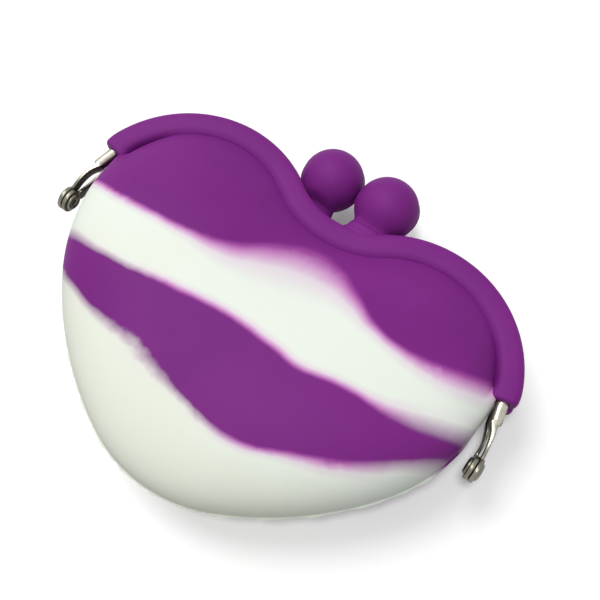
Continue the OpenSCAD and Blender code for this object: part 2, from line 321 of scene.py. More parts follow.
class Value:
    """A shader socket that Python's operators work on."""

    def __init__(self, shader: "Shader", socket: bpy.types.NodeSocket) -> None:
        """Wraps a socket of a shader."""
        self.shader = shader
        self.socket = socket

    def maths(self, operation: str, *others: "Value | float") -> "Value":
        """Adds the Math node that combines this value with others."""
        inputs = dict(enumerate((self, *others)))
        return self.shader.node("ShaderNodeMath", {"operation": operation}, inputs)

    def __add__(self, other: "Value | float") -> "Value":
        """Sum."""
        return self.maths("ADD", other)

    def __radd__(self, other: float) -> "Value":
        """Sum, with a number first."""
        return self.maths("ADD", other)

    def __sub__(self, other: "Value | float") -> "Value":
        """Difference."""
        return self.maths("SUBTRACT", other)

    def __rsub__(self, other: float) -> "Value":
        """Difference, with a number first."""
        return (self * -1.0) + other

    def __mul__(self, other: "Value | float") -> "Value":
        """Product."""
        return self.maths("MULTIPLY", other)

    def __rmul__(self, other: float) -> "Value":
        """Product, with a number first."""
        return self.maths("MULTIPLY", other)

    def __truediv__(self, other: "Value | float") -> "Value":
        """Quotient."""
        return self.maths("DIVIDE", other)

    def most(self, other: "Value | float") -> "Value":
        """The larger of two."""
        return self.maths("MAXIMUM", other)

    def least(self, other: "Value | float") -> "Value":
        """The smaller of two."""
        return self.maths("MINIMUM", other)

    def rise(self, low: float, high: float) -> "Value":
        """0 up to low, 1 from high on, and smooth between them."""
        settings = {"interpolation_type": "SMOOTHSTEP"}
        return self.shader.node("ShaderNodeMapRange", settings, {0: self, 1: low, 2: high})

    def hump(self, middle: float, width: float) -> "Value":
        """A bell that is 1 at middle: exp(-((v - middle) / width)^2)."""
        off = (self - middle) * (1.0 / width)
        return ((off * off) * -1.0).maths("EXPONENT")


class Shader:
    """A node material under construction."""

    def __init__(self, tree: bpy.types.NodeTree) -> None:
        """Clears a node tree and works in it."""
        self.tree = tree
        tree.nodes.clear()

    def node(
        self,
        kind: str,
        settings: dict[str, object],
        inputs: dict[int | str, object],
        out: int | str = 0,
    ) -> Value:
        """Adds a node.

        Args:
            kind: the node's type.
            settings: its properties, set first; "stops" fills a ramp and "points" a curve.
            inputs: values or links of its sockets, by name or number.
            out: which of its outputs to hand back.
        Returns:
            That output.
        """
        made = self.tree.nodes.new(kind)
        for key, setting in settings.items():
            if key == "stops":
                self.fill_ramp(made.color_ramp, setting)
            elif key == "points":
                self.fill_curve(made.mapping, setting)
            else:
                setattr(made, key, setting)
        for key, given in inputs.items():
            if isinstance(given, Value):
                self.tree.links.new(given.socket, made.inputs[key])
            else:
                made.inputs[key].default_value = given
        return Value(self, made.outputs[out])

    @staticmethod
    def fill_ramp(ramp: bpy.types.ColorRamp, stops: Sequence[tuple[float, object]]) -> None:
        """Puts stops into a colour ramp.

        Args:
            ramp: the ramp, whose own stops go.
            stops: the place and the colour of each new one.
        """
        while len(ramp.elements) > 1:
            ramp.elements.remove(ramp.elements[-1])
        ramp.elements[0].position, ramp.elements[0].color = stops[0]
        for position, colour in stops[1:]:
            ramp.elements.new(position).color = colour

    @staticmethod
    def fill_curve(mapping: bpy.types.CurveMapping, points: Sequence[tuple[float, float]]) -> None:
        """Puts points into a float curve.

        Args:
            mapping: the curve, which starts with two points.
            points: the places of all its points, from left to right.
        """
        curve = mapping.curves[0]
        curve.points[0].location, curve.points[1].location = points[0], points[-1]
        for point in points[1:-1]:
            curve.points.new(*point)
        mapping.use_clip = False
        mapping.update()

    def axis(self, place: Value, which: int) -> Value:
        """The x, y or z of a place, for 0, 1 or 2."""
        return self.node("ShaderNodeSeparateXYZ", {}, {0: place}, which)

    def mix(self, share: Value, a: object, b: object) -> Value:
        """Mixes colour a into colour b by a share from 0 to 1."""
        settings = {"data_type": "RGBA", "clamp_factor": True}
        return self.node("ShaderNodeMix", settings, {0: share, 6: a, 7: b}, 2)

    def noise(self, place: Value, scale: float, detail: float = 2.0, out: int = 0) -> Value:
        """Smooth noise of 0 to 1, or its vector at output 1, with scale in humps per unit."""
        inputs = {"Vector": place, "Scale": scale, "Detail": detail}
        return self.node("ShaderNodeTexNoise", {}, inputs, out)

    def vectors(self, operation: str, *inputs: object) -> Value:
        """Adds the Vector Math node that combines vectors."""
        return self.node("ShaderNodeVectorMath", {"operation": operation}, dict(enumerate(inputs)))

    def bump(self, height: Value, strength: float, depth: float) -> Value:
        """Turns a height from 0 to 1 into a normal, with its depth in millimetres."""
        inputs = {"Strength": strength, "Distance": depth * MM, "Height": height}
        return self.node("ShaderNodeBump", {}, inputs)

    def end(self, kind: str, closure: Value) -> None:
        """Joins a closure to an output node of this type."""
        output = self.tree.nodes.new(kind)
        self.tree.links.new(closure.socket, output.inputs["Surface"])

    def surface(self, inputs: dict[int | str, object]) -> None:
        """Ends the material in a Principled shader with these inputs."""
        closure = self.node("ShaderNodeBsdfPrincipled", {}, inputs)
        self.end("ShaderNodeOutputMaterial", closure)


def srgb(colour: Colour) -> tuple[float, float, float, float]:
    """Turns a colour as it is written into the values that a shader takes.

    Args:
        colour: red, green and blue from 0 to 255.
    Returns:
        The linear values and full cover: c / 12.92 up to 0.04045 and ((c + 0.055) / 1.055)^2.4
        from there.
    """
    parts = [c / 255.0 for c in colour]
    linear = [c / 12.92 if c <= 0.04045 else ((c + 0.055) / 1.055) ** 2.4 for c in parts]
    return (*linear, 1.0)


def new_shader(name: str) -> tuple[bpy.types.Material, Shader]:
    """Makes an empty node material.

    Args:
        name: its name.
    Returns:
        The material and the shader to build in it.
    """
    material = bpy.data.materials.new(name)
    material.use_nodes = True
    return material, Shader(material.node_tree)


# Finishes


@dataclass(frozen=True)
class FlowEdge:
    """One edge of the purple flows, in millimetres: its course in front and its wave behind.

    The edge's blur is a base width, plus what each widening adds, (from x, to x, width), plus a
    haze, (middle x, reach in x, width). A wave is (radians to the millimetre, start).
    """

    course: Course
    swing: float
    ripple: float
    level: float
    blur: float
    widenings: tuple[tuple[float, float, float], ...]
    haze: tuple[float, float, float] = (0.0, 1.0, 0.0)
    slow_wave: tuple[float, float] = (0.085, 0.9)
    quick_wave: tuple[float, float] = (0.19, 2.0)
    reach: float = 50.0

    def front(self, shader: Shader, x: Value) -> Value:
        """The edge's height in front, as a smooth curve through its course.

        Args:
            shader: the shader under construction.
            x: the place along the hinge line.
        Returns:
            The height y. The curve's own axes go from 0 to 1 over the reach on both sides.
        """
        span = 2 * self.reach
        stops = [((px + self.reach) / span, (py + self.reach) / span) for px, py in self.course]
        share = (x + self.reach) * (1.0 / span)
        inputs = {"Factor": 1.0, "Value": share}
        level = shader.node("ShaderNodeFloatCurve", {"points": stops}, inputs)
        return level * span - self.reach

    def height(self, shader: Shader, x: Value, behind: Value) -> Value:
        """The edge's height all round.

        Args:
            shader: the shader under construction.
            x: the place along the hinge line.
            behind: 0 in front and 1 on the back.
        Returns:
            The front's height, turning on the back into level + swing sin(slow wave) +
            ripple sin(quick wave), where a wave is rate x + start.
        """
        slow, quick = (
            (x * rate + start).maths("SINE") for rate, start in (self.slow_wave, self.quick_wave)
        )
        front = self.front(shader, x)
        back = slow * self.swing + quick * self.ripple + self.level
        return front + (back - front) * behind

    def hazy(self, x: Value) -> Value:
        """1 in the middle of the edge's haze, falling to 0 beside it."""
        return x.hump(*self.haze[:2])

    def width(self, x: Value) -> Value:
        """The width of the edge's blur.

        Args:
            x: the place along the hinge line.
        Returns:
            The base width, with what the haze and the widenings add there.
        """
        width = self.hazy(x) * self.haze[2] + self.blur
        for low, high, more in self.widenings:
            width = width + x.rise(low, high) * more
        return width


UPPER = FlowEdge(
    course=(
        (-50.0, 6.2), (-41.0, 4.4), (-30.0, 4.4), (-20.5, 5.0), (-11.5, 7.5), (-5.0, 12.6),
        (2.0, 16.9), (8.0, 16.0), (14.0, 12.8), (20.0, 9.7), (26.0, 8.7), (35.0, 9.9),
        (41.0, 12.2), (50.0, 19.0),
    ),
    swing=4.5,
    ripple=1.2,
    level=5.5,
    blur=1.9,
    widenings=((20.0, 44.0, 3.4),),
    haze=(1.0, 12.5, 7.6),
)
BAND_TOP = FlowEdge(
    course=(
        (-50.0, -6.6), (-40.0, -7.6), (-28.0, -7.8), (-15.0, -6.4), (-2.0, -5.0), (7.0, -5.3),
        (13.0, -5.8), (21.0, -4.2), (31.0, -3.2), (40.0, -0.4), (50.0, 4.8),
    ),
    swing=-3.4,
    ripple=1.5,
    level=-8.0,
    blur=1.8,
    widenings=((24.0, 42.0, 3.0), (-30.0, -44.0, 0.8)),
)
BAND_BOTTOM = FlowEdge(
    course=(
        (-50.0, -11.4), (-41.0, -13.4), (-34.8, -15.6), (-26.0, -18.0), (-16.0, -18.8),
        (-7.0, -21.0), (4.0, -23.2), (12.0, -22.9), (21.0, -19.4), (31.0, -14.3), (40.0, -7.5),
        (50.0, 1.0),
    ),
    swing=-5.0,
    ripple=-1.0,
    level=-18.5,
    blur=1.7,
    widenings=((16.0, 38.0, 1.8),),
    haze=(-13.0, 9.0, 1.6),
)


@dataclass(frozen=True)
class Silicone:
    """Soft matte silicone, poured in two colours where it is marbled."""

    name: str
    marbled: bool
    purple: Colour = (125, 38, 131)
    purple_deep: Colour = (119, 34, 126)
    magenta: Colour = (164, 76, 162)
    pink: Colour = (212, 154, 206)
    blush: Colour = (233, 218, 230)
    white: Colour = (238, 245, 235)
    cream: Colour = (237, 241, 227)
    roughness: float = 0.58
    grain_h: float = 0.4
    swirl: float = 0.9
    smoke: float = 0.2
    smoke_patches: float = 1.1
    feathers: float = 2.8
    haze_bias: float = 0.11
    upper_bias: float = 0.62
    band_bias: float = 0.58
    plainness: float = 0.8

    def flow(self, shader: Shader, place: Value) -> Value:
        """How far inside the purple a point is, in widths of the edge's blur.

        Args:
            shader: the shader under construction.
            place: the point, in millimetres from the hinge line.
        Returns:
            Under 0 in the white and over 1 in the purple: the larger of the upper flow's share
            and the band's. Slow noise bends x and y first, and fine noise frays the edges.
        """
        swirl = shader.noise(place, scale=0.09, detail=3.0, out=1)
        off = shader.vectors("SUBTRACT", swirl, (0.5,) * 3)
        bent = shader.vectors("MULTIPLY_ADD", off, (self.swirl,) * 3, place)
        x, y, z = shader.axis(bent, 0), shader.axis(bent, 1), shader.axis(place, 2)
        behind = 1.0 - z.rise(-7.0, 1.5)
        upper, top, bottom = (
            edge.height(shader, x, behind) for edge in (UPPER, BAND_TOP, BAND_BOTTOM)
        )
        patches = shader.noise(place, scale=0.1, detail=1.0).rise(0.5, 0.7)
        smoke = shader.noise(place, scale=0.55, detail=3.0) - 0.5
        y = y + smoke * (patches * self.smoke_patches + self.smoke)
        feather = (shader.noise(place, scale=0.3, detail=3.0) - 0.5) * y.rise(-9.0, -12.0)
        y = y + feather * BAND_BOTTOM.hazy(x) * self.feathers
        in_upper = (y - upper) / UPPER.width(x) + UPPER.hazy(x) * self.haze_bias + self.upper_bias
        under_top = (top - y) / BAND_TOP.width(x) + self.band_bias
        over_bottom = (y - bottom) / BAND_BOTTOM.width(x) + self.band_bias
        return in_upper.most(under_top.least(over_bottom))

    def fringe(self, shader: Shader, x: Value, y: Value, inside: Value, plain: Value) -> Value:
        """The colours on a flow's edge.

        Args:
            shader: the shader under construction.
            x: the place along the hinge line.
            y: the place towards the mouth.
            inside: how far inside the purple the point is.
            plain: purple and white mixed by that.
        Returns:
            A run through pink and magenta, or nearly the plain mix on the band's left end, on its
            lower edge on the left and on the upper flow's edge on the far right.
        """
        run = ((0.0, self.blush), (0.36, self.pink), (0.68, self.magenta), (0.95, self.purple))
        stops = [(place, srgb(colour)) for place, colour in run]
        pink = shader.node("ShaderNodeValToRGB", {"stops": stops}, {0: inside})
        low = y.rise(-8.5, -12.5) * x.rise(14.0, 2.0)
        far = y.rise(8.0, 4.0) * x.rise(28.0, 40.0)
        tip = y.rise(-2.0, -4.5) * x.rise(-15.0, -27.0)
        return shader.mix(low.most(far).most(tip) * self.plainness, pink, plain)

    def colour(self, shader: Shader, place: Value) -> Value:
        """The colour at a point, with the drift that pigment has in silicone.

        Args:
            shader: the shader under construction.
            place: the point, in millimetres from the hinge line.
        Returns:
            The colour: white, the flow's edge and purple in turn, as the point lies further in.
        """
        drift = shader.noise(place, scale=0.045, detail=3.0)
        purple = shader.mix(drift.rise(0.35, 0.65), srgb(self.purple_deep), srgb(self.purple))
        if not self.marbled:
            return purple
        x, y = shader.axis(place, 0), shader.axis(place, 1)
        cloud = shader.noise(place, scale=0.03, detail=2.0) + y * 0.012 + 0.1
        white = shader.mix(cloud.rise(0.25, 0.6), srgb(self.cream), srgb(self.white))
        inside = self.flow(shader, place)
        plain = shader.mix(inside, white, purple)
        fringe = self.fringe(shader, x, y, inside, plain)
        body = shader.mix(inside.rise(-0.7, 0.2), white, fringe)
        return shader.mix(inside.rise(0.7, 1.0), body, purple)

    def make(self) -> bpy.types.Material:
        """Builds the material.

        Returns:
            The material, whose grain and slow swell come from noise on the moulded places.
        """
        material, shader = new_shader(self.name)
        place = shader.node("ShaderNodeAttribute", {"attribute_name": REST_ATTRIBUTE}, {}, 1)
        grain = shader.noise(place, scale=4.0, detail=3.0)
        swell = shader.noise(place, scale=0.35, detail=2.0)
        height = grain * 0.25 + swell * 0.75
        shader.surface(
            {
                "Base Color": self.colour(shader, place),
                "Roughness": grain * 0.08 + (self.roughness - 0.04),
                "Specular IOR Level": 0.16,
                "Subsurface Weight": 0.06,
                "Subsurface Radius": (1.0, 0.6, 0.9),
                "Subsurface Scale": 1.2 * MM,
                "Normal": shader.bump(height, strength=0.08, depth=self.grain_h),
            }
        )
        return material


@dataclass(frozen=True)
class PlatedSteel:
    """Nickel-plated steel with fine drawing lines, dulled a little."""

    name: str
    tint: Colour = (190, 186, 171)
    # Colour of random dull patches and of the painted shade on faces that look sideways.
    shade: Colour = (126, 122, 104)
    # Colour of the painted shade on the arms and eyes.
    arm_shade_colour: Colour = (84, 82, 72)
    roughness: float = 0.27
    line_h: float = 0.05

    def make(self) -> bpy.types.Material:
        """Builds the material on object coordinates, so that it also suits CAD solids.

        Returns:
            The material: lines run along Y, random dull patches and painted shade darken the faces
                that look sideways, and painted shade darkens the arms and eyes, least on faces
                that don't look sideways.
        """
        material, shader = new_shader(self.name)
        place = shader.node("ShaderNodeTexCoord", {}, {}, "Object")
        lines = shader.vectors("MULTIPLY", place, (3000.0, 500.0, 3000.0))
        drawn = shader.noise(lines, scale=1.0, detail=3.0)
        dull = shader.noise(place, scale=450.0, detail=3.0)
        # 0 on faces that look sideways: the mask for the steel's painted shade.
        lit_facing = shader.node("ShaderNodeAttribute", {"attribute_name": FACING_LIGHT_ATTRIBUTE}, {}, 2)
        height = shader.axis(place, 1) * (1.0 / MM) + dull * 3.0
        # Painted shade on the arms and eyes below y 11 mm, held back in part on faces that don't
        # look sideways and more so away from the eyes.
        kept_lit = lit_facing * (height.rise(2.0, 5.0) * 0.6 + 0.32)
        arm_shade_share = height.rise(11.0, 8.0) * (1.0 - kept_lit)
        # Random dull patches, and painted shade on faces that look sideways.
        flank = dull.rise(0.35, 0.75) * 0.6 + (1.0 - lit_facing) * 0.8
        clean = shader.mix(flank, srgb(self.tint), srgb(self.shade))
        uneven = drawn * 0.12 + dull * 0.1 + arm_shade_share * 0.06
        shader.surface(
            {
                "Base Color": shader.mix(arm_shade_share, clean, srgb(self.arm_shade_colour)),
                "Metallic": 1.0,
                "Roughness": uneven + (self.roughness - 0.08),
                "Normal": shader.bump(drawn, strength=0.12, depth=self.line_h),
            }
        )
        return material


# Forms


@dataclass(frozen=True)
class HeartForm:
    """Outline and heights of the pouch and its rims, in millimetres from the hinge line."""

    toe_drop: float = 38.5
    toe_r: float = 31.8
    toe_turn: float = math.radians(26.0)
    flank_r: float = 70.5
    flank_turn: float = math.radians(53.0)
    side_r: float = 36.2
    crown_h: float = 13.5
    brim_h: float = 4.1
    crown_at: float = 0.6
    crown_reach: float = 18.0
    edge_power: float = 2.3
    crown_power: float = 2.4
    fall_power: float = 2.2
    wall: float = 1.8
    notch_y: float = 26.7
    notch_r: float = 17.5
    notch_turn: float = math.radians(35.0)
    notch_share: float = 0.2
    lobe_r: float = 26.45
    rim_w: float = 5.5
    rim_h: float = 4.9
    rim_end_y: float = 15.5
    rim_lip: float = 2.1
    tube_z: float = 2.4
    lean: float = 0.35
    lean_y: float = 17.0
    lean_run: float = 4.0
    ends_x: float = 40.0
    side_drop: float = 1.35
    side_keep: float = 2.0
    drop_x: float = 38.0
    drop_x_run: float = 8.6
    drop_y: float = 2.0
    drop_y_run: float = 11.0
    seam: float = 0.1
    tuck: float = 0.9

    @property
    def toe_c(self) -> np.ndarray:
        """Centre of the toe's arc."""
        return np.array([0.0, self.toe_r - self.toe_drop])

    @property
    def flank_c(self) -> np.ndarray:
        """Centre of the right flank's arc."""
        return self.toe_c + (self.toe_r - self.flank_r) * bearing(self.toe_turn)

    @property
    def side_c(self) -> np.ndarray:
        """Centre of the right side's arc."""
        return self.flank_c + (self.flank_r - self.side_r) * bearing(self.flank_turn)

    @property
    def side_x(self) -> float:
        """Half the pouch's width."""
        return float(self.side_c[0] + self.side_r)

    @property
    def notch_c(self) -> np.ndarray:
        """Centre of the notch's arc."""
        return np.array([0.0, self.notch_y + self.notch_r])

    @property
    def lobe_c(self) -> np.ndarray:
        """Centre of the right lobe's arc."""
        return self.notch_c + (self.notch_r + self.lobe_r) * bearing(self.notch_turn)

    @property
    def mid_r(self) -> float:
        """Radius of the rim's middle line round a lobe."""
        return self.lobe_r - self.rim_w / 2

    @property
    def lobe_turn(self) -> float:
        """The angle about the lobe's centre where the notch's arc joins the lobe's."""
        return math.pi / 2 + self.notch_turn

    @property
    def rim_end_turn(self) -> float:
        """The angle about the lobe's centre where the rim is cut off, square to its length."""
        return math.asin((self.rim_end_y - self.rim_lip - self.lobe_c[1]) / self.mid_r)

    def low_y(self, x: np.ndarray) -> np.ndarray:
        """Lower edge of the pouch.

        Args:
            x: distances from the middle.
        Returns:
            Its height y: the toe's arc, then the flank's and then the side's.
        """
        toe_end = self.toe_r * math.sin(self.toe_turn)
        flank_end = self.flank_c[0] + self.flank_r * math.sin(self.flank_turn)
        toe = arc_y(x, self.toe_c, self.toe_r, -1.0)
        flank = arc_y(x, self.flank_c, self.flank_r, -1.0)
        side = arc_y(x, self.side_c, self.side_r, -1.0)
        return np.where(x < toe_end, toe, np.where(x < flank_end, flank, side))

    def outward(self, x: np.ndarray) -> np.ndarray:
        """Direction out of the lower edge, in plan.

        Args:
            x: places along the hinge line, with their sign.
        Returns:
            Unit vectors square to the edge, from its slope over a small step.
        """
        step = 1e-4
        a = np.minimum(np.abs(x), self.side_x - 2 * step)
        slope = (self.low_y(a + step) - self.low_y(a)) / step
        length = np.sqrt(slope**2 + 1.0)
        return np.stack([np.sign(x) * slope / length, -1.0 / length, 0.0 * x], -1)

    def brim_y(self, x: np.ndarray, tuck: float = 0.0) -> np.ndarray:
        """Upper edge of the wall, under the rim.

        Args:
            x: distances from the middle.
            tuck: how far the wall goes on under the rim.
        Returns:
            Its height y: the notch's arc, then the lobe's, but not under the rim's end.
        """
        notch_in = self.notch_r + self.rim_w + self.seam - tuck
        lobe_in = self.lobe_r - self.rim_w - self.seam + tuck
        notch = arc_y(x, self.notch_c, notch_in, -1.0)
        lobe = np.maximum(self.rim_end_y - self.seam, arc_y(x, self.lobe_c, lobe_in, 1.0))
        return np.where(x < notch_in * math.sin(self.notch_turn), notch, lobe)

    def crown_z(self, x: np.ndarray) -> np.ndarray:
        """Height of the crown across the pouch, a blunt arch on the brim's height."""
        share = np.clip(x / self.side_x, 0.0, 1.0) ** self.crown_power
        return self.brim_h + (self.crown_h - self.brim_h) * np.sqrt(np.maximum(0, 1 - share))

    def crown_y(self, x: np.ndarray) -> np.ndarray:
        """Place of the crown on the section at x."""
        return self.low_y(x) + self.crown_at * (self.crown_reach - self.low_y(x))

    def upper_z(self, x: np.ndarray, y: np.ndarray, inset: float) -> np.ndarray:
        """Height of the face between its crown and the rim.

        Args:
            x: distances from the middle.
            y: heights towards the mouth.
            inset: 0 for the outside, or the wall's thickness.
        Returns:
            Its height z, falling late to the brim: brim + (crown - brim) (1 - share^power).
        """
        share = (y - self.crown_y(x)) / (self.brim_y(x) - self.crown_y(x))
        fall = 1.0 - np.maximum(0.0, share) ** self.fall_power
        return self.brim_h - inset + (self.crown_z(x) - self.brim_h) * fall

    def settle(self, x: np.ndarray, y: np.ndarray, z: np.ndarray) -> np.ndarray:
        """Lowers the faces beside the rim's ends, where the frame's tube lies free of them.

        Args:
            x: distance from the middle.
            y: height towards the mouth.
            z: height of the face, in front or behind.
        Returns:
            The height, drawn towards 0 by up to side_drop but not nearer than side_keep.
        """
        near = smoothstep((x - self.drop_x) / self.drop_x_run)
        near = near * smoothstep((y - self.drop_y) / self.drop_y_run)
        share = np.clip((np.abs(z) - self.side_keep) / (self.brim_h - self.side_keep), 0.0, 1.0)
        return np.sign(z) * (np.abs(z) - self.side_drop * near * share)

    def edge_turn(self, x: np.ndarray, z: np.ndarray, inset: float) -> np.ndarray:
        """The angle on the blunt edge at which its height is z."""
        share = np.minimum(np.abs(z) / (self.crown_z(x) - inset), 1.0)
        return np.sign(z) * np.arcsin(share ** (self.edge_power / 2.0))

    def edge_place(
        self, x: np.ndarray, turn: np.ndarray, inset: float
    ) -> tuple[np.ndarray, np.ndarray]:
        """Places on the blunt edge, which is half an oval below the crown.

        Args:
            x: distances from the middle.
            turn: angles from -90 to 90 degrees, in radians.
            inset: 0 for the outside, or the wall's thickness.
        Returns:
            Heights y and z.
        """
        c, s = superellipse(turn, self.edge_power)
        crown = self.crown_y(x)
        y = crown - (crown - self.low_y(x) - inset) * np.abs(c)
        return y, (self.crown_z(x) - inset) * s

    def rim_path(self, share: np.ndarray, u: np.ndarray, last_turn: float) -> np.ndarray:
        """Places beside the rim's middle line, on the right side.

        Args:
            share: how far along, from 0 in the notch to 1 at the end. The notch takes the first
                notch_share of it.
            u: distance outwards from the middle line.
            last_turn: the angle about the lobe's centre where the path ends, in radians.
        Returns:
            Places x, y in the last axis.
        """
        a = self.notch_turn * np.minimum(share / self.notch_share, 1.0)
        r = self.notch_r + self.rim_w / 2 - u
        notch = np.stack([r * np.sin(a), self.notch_c[1] - r * np.cos(a)], -1)
        past = np.maximum(0.0, (share - self.notch_share) / (1.0 - self.notch_share))
        b = self.lobe_turn + (last_turn - self.lobe_turn) * past
        r = self.mid_r + u
        lobe = np.stack([self.lobe_c[0] + r * np.cos(b), self.lobe_c[1] + r * np.sin(b)], -1)
        return np.where((share < self.notch_share)[..., None], notch, lobe)

    def lean_in(self, points: np.ndarray) -> np.ndarray:
        """Draws the ends of a rim or of its frame in a little towards the pouch.

        Args:
            points: places of either, in the last axis.
        Returns:
            The same with x nearer the middle by lean, from lean_y down over lean_run.
        """
        x, y = points[..., 0], points[..., 1]
        shift = self.lean * smoothstep((self.lean_y - y) / self.lean_run)
        shift = shift * (np.abs(x) > self.ends_x)
        return np.concatenate([(x - np.sign(x) * shift)[..., None], points[..., 1:]], -1)


FORM = HeartForm()


@dataclass(frozen=True)
class Pouch:
    """The moulded pouch: its front and its back with the gussets."""

    split_z: float = FORM.side_keep
    hem_y: float = FORM.rim_end_y - FORM.seam
    columns: int = 181
    side_columns: int = 31
    front_edge_rows: int = 44
    front_face_rows: int = 49
    back_edge_rows: int = 36
    back_face_rows: int = 24
    top_rows: int = 22
    bend_from: float = -14.0
    bulge: float = 0.45
    flash_h: float = 0.6
    flash_w: float = 0.14
    rest_z: float = float(-HINGE[2])
    rest_round: float = 0.3

    def across(self, end_x: float) -> np.ndarray:
        """Columns from -end_x to end_x, closer together towards the sides."""
        return end_x * np.sin(np.linspace(-math.pi / 2, math.pi / 2, self.columns))

    @property
    def levels(self) -> np.ndarray:
        """Heights of the rows round the edge, closest where the fin is and beside the seam.

        Returns:
            Heights from split_z down to -split_z, the same on both sides of the middle.
        """
        seam = [self.split_z, 1.97, 1.9, 1.8]
        half = np.concatenate([seam, np.linspace(1.7, 0.5, 7), np.linspace(0.4, 0.0, 9)])
        return np.unique(np.round(np.concatenate([half, -half]), 4))[::-1]

    def place(self, x: np.ndarray, y: np.ndarray, z: np.ndarray, inset: float) -> np.ndarray:
        """Puts rows of heights together.

        Args:
            x: the columns.
            y: heights towards the mouth, in rows and columns.
            z: heights out of the front face, likewise.
            inset: 0 for the outside, or the wall's thickness.
        Returns:
            Places, with the inner wall drawn in from the sides and the outside pressed flat where
            the purse lies on its back.
        """
        scale = (FORM.side_x - FORM.wall) / FORM.side_x if inset else 1.0
        z = FORM.settle(np.abs(x), y, z)
        if not inset:
            z = soft_max(z, self.rest_z, self.rest_round)
        return np.stack([np.broadcast_to(x * scale, y.shape), y, z], -1)

    def front_rows(self, inset: float) -> np.ndarray:
        """Rows of the front face, from the plane that parts front and back up to the brim.

        Args:
            inset: 0 for the outside, or the wall's thickness.
        Returns:
            A grid: the blunt edge up to the crown, and the face from there.
        """
        x = self.across(FORM.side_x)
        a = np.abs(x)[None, :]
        start = FORM.edge_turn(a, np.full_like(a, self.split_z), inset)
        share = np.linspace(0.0, 1.0, self.front_edge_rows)[:, None] ** 1.5
        edge_y, edge_z = FORM.edge_place(a, start + (math.pi / 2 - start) * share, inset)
        share = np.linspace(0.0, 1.0, self.front_face_rows)[1:, None]
        crown, brim = FORM.crown_y(a), FORM.brim_y(a, FORM.tuck)
        face_y = crown + (brim - crown) * share
        face_z = FORM.upper_z(a, face_y, inset)
        return self.place(x, np.vstack([edge_y, face_y]), np.vstack([edge_z, face_z]), inset)

    def back_rows(self, inset: float) -> np.ndarray:
        """Rows of the back, from the parting plane round the edge and up to the hem's height.

        Args:
            inset: 0 for the outside, or the wall's thickness.
        Returns:
            A grid: the edge at the levels, the rest of it to the crown, and the face from there,
            with the mould's fin on the outside.
        """
        x = self.across(FORM.side_x)
        a = np.abs(x)[None, :]
        edge = FORM.edge_turn(a, self.levels[:, None], inset)
        start = FORM.edge_turn(a, np.full_like(a, -self.split_z), inset)
        share = np.linspace(0.0, 1.0, self.back_edge_rows)[1:, None]
        turn = np.vstack([edge, start + (-math.pi / 2 - start) * share])
        edge_y, edge_z = FORM.edge_place(a, turn, inset)
        share = np.linspace(0.0, 0.96, self.back_face_rows)[1:]
        share = np.concatenate([share, [0.985, 1.0]])[:, None]
        crown = FORM.crown_y(a)
        face_y = crown + (self.hem_y - crown) * share
        face_z = -FORM.upper_z(a, face_y, inset)
        rows = self.place(x, np.vstack([edge_y, face_y]), np.vstack([edge_z, face_z]), inset)
        if not inset:
            rows += self.flash(x, rows[..., 2])[..., None] * FORM.outward(x)
        return rows

    def flash(self, x: np.ndarray, z: np.ndarray) -> np.ndarray:
        """The thin fin that the mould leaves along its parting line.

        Args:
            x: places along the hinge line.
            z: heights from the parting line.
        Returns:
            How far it stands out: slow waves with torn gaps over x, times exp(-(z / width)^2).
        """
        uneven = 0.68 + 0.2 * np.sin(x * 0.9) + 0.12 * np.sin(x * 2.3 + 1.0)
        torn = np.clip(np.sin(x * 0.37 + 0.6) * np.sin(x * 1.3) - 0.35, 0.0, 0.4)
        return self.flash_h * (uneven - torn) * np.exp(-((z / self.flash_w) ** 2))

    def side(self, column: np.ndarray, inset: float) -> np.ndarray:
        """The blunt side of the pouch, beside each row of its last column.

        Args:
            column: the last column's points, whose z is the section's height there.
            inset: 0 for the outside, or the wall's thickness.
        Returns:
            A grid from that height to the seam, or on the back to as far in front of the middle,
            whose x bulges as (1 - (z / height)^2)^2, with the mould's fin on the outside.
        """
        low = column[:, 2:]
        high = np.where(low > 1.0, self.split_z, np.minimum(self.split_z, -low))
        share = 0.5 - 0.5 * np.cos(np.linspace(0.0, math.pi, self.side_columns))
        z = low + (high - low) * share
        height = np.maximum(np.abs(low), 1e-6)
        out = self.bulge * (1.0 - np.minimum(1.0, (z / height) ** 2)) ** 2
        out *= smoothstep(height / FORM.brim_h)
        if not inset:
            fin = self.flash(column[:, :1], z) - self.flash(column[:, :1], height)
            out += np.where(height > 1.0, fin, 0.0)
        x = column[:, :1] + np.sign(column[:, :1]) * out
        return np.stack([x, np.broadcast_to(column[:, 1:2], z.shape), z], -1)

    def shell(
        self, name: str, rows_at: Callable[[float], np.ndarray], first: int
    ) -> bpy.types.Object:
        """One closed wall: outside and inside, each with its sides, and the strips between them.

        Args:
            name: the piece's name.
            rows_at: gives the rows of the face for an inset.
            first: the first row that has a side, which on the back is the middle one. The sides
                of as many rows end on the face itself, past the middle, and need no strip.
        Returns:
            The piece.
        """
        skin = Surface()
        walls, sides = [], []
        for inset in (0.0, FORM.wall):
            walls.append(rows_at(inset))
            skin.grid(walls[-1])
            for end in (0, -1):
                sides.append(self.side(walls[-1][first:, end], inset))
                skin.grid(sides[-1])
        skin.strip(walls[0][0], walls[1][0])
        skin.strip(walls[0][-1], walls[1][-1])
        for outer, inner in zip(sides[:2], sides[2:]):
            skin.strip(outer[first:, -1], inner[first:, -1])
            skin.strip(outer[-1], inner[-1])
        return skin.piece(name)

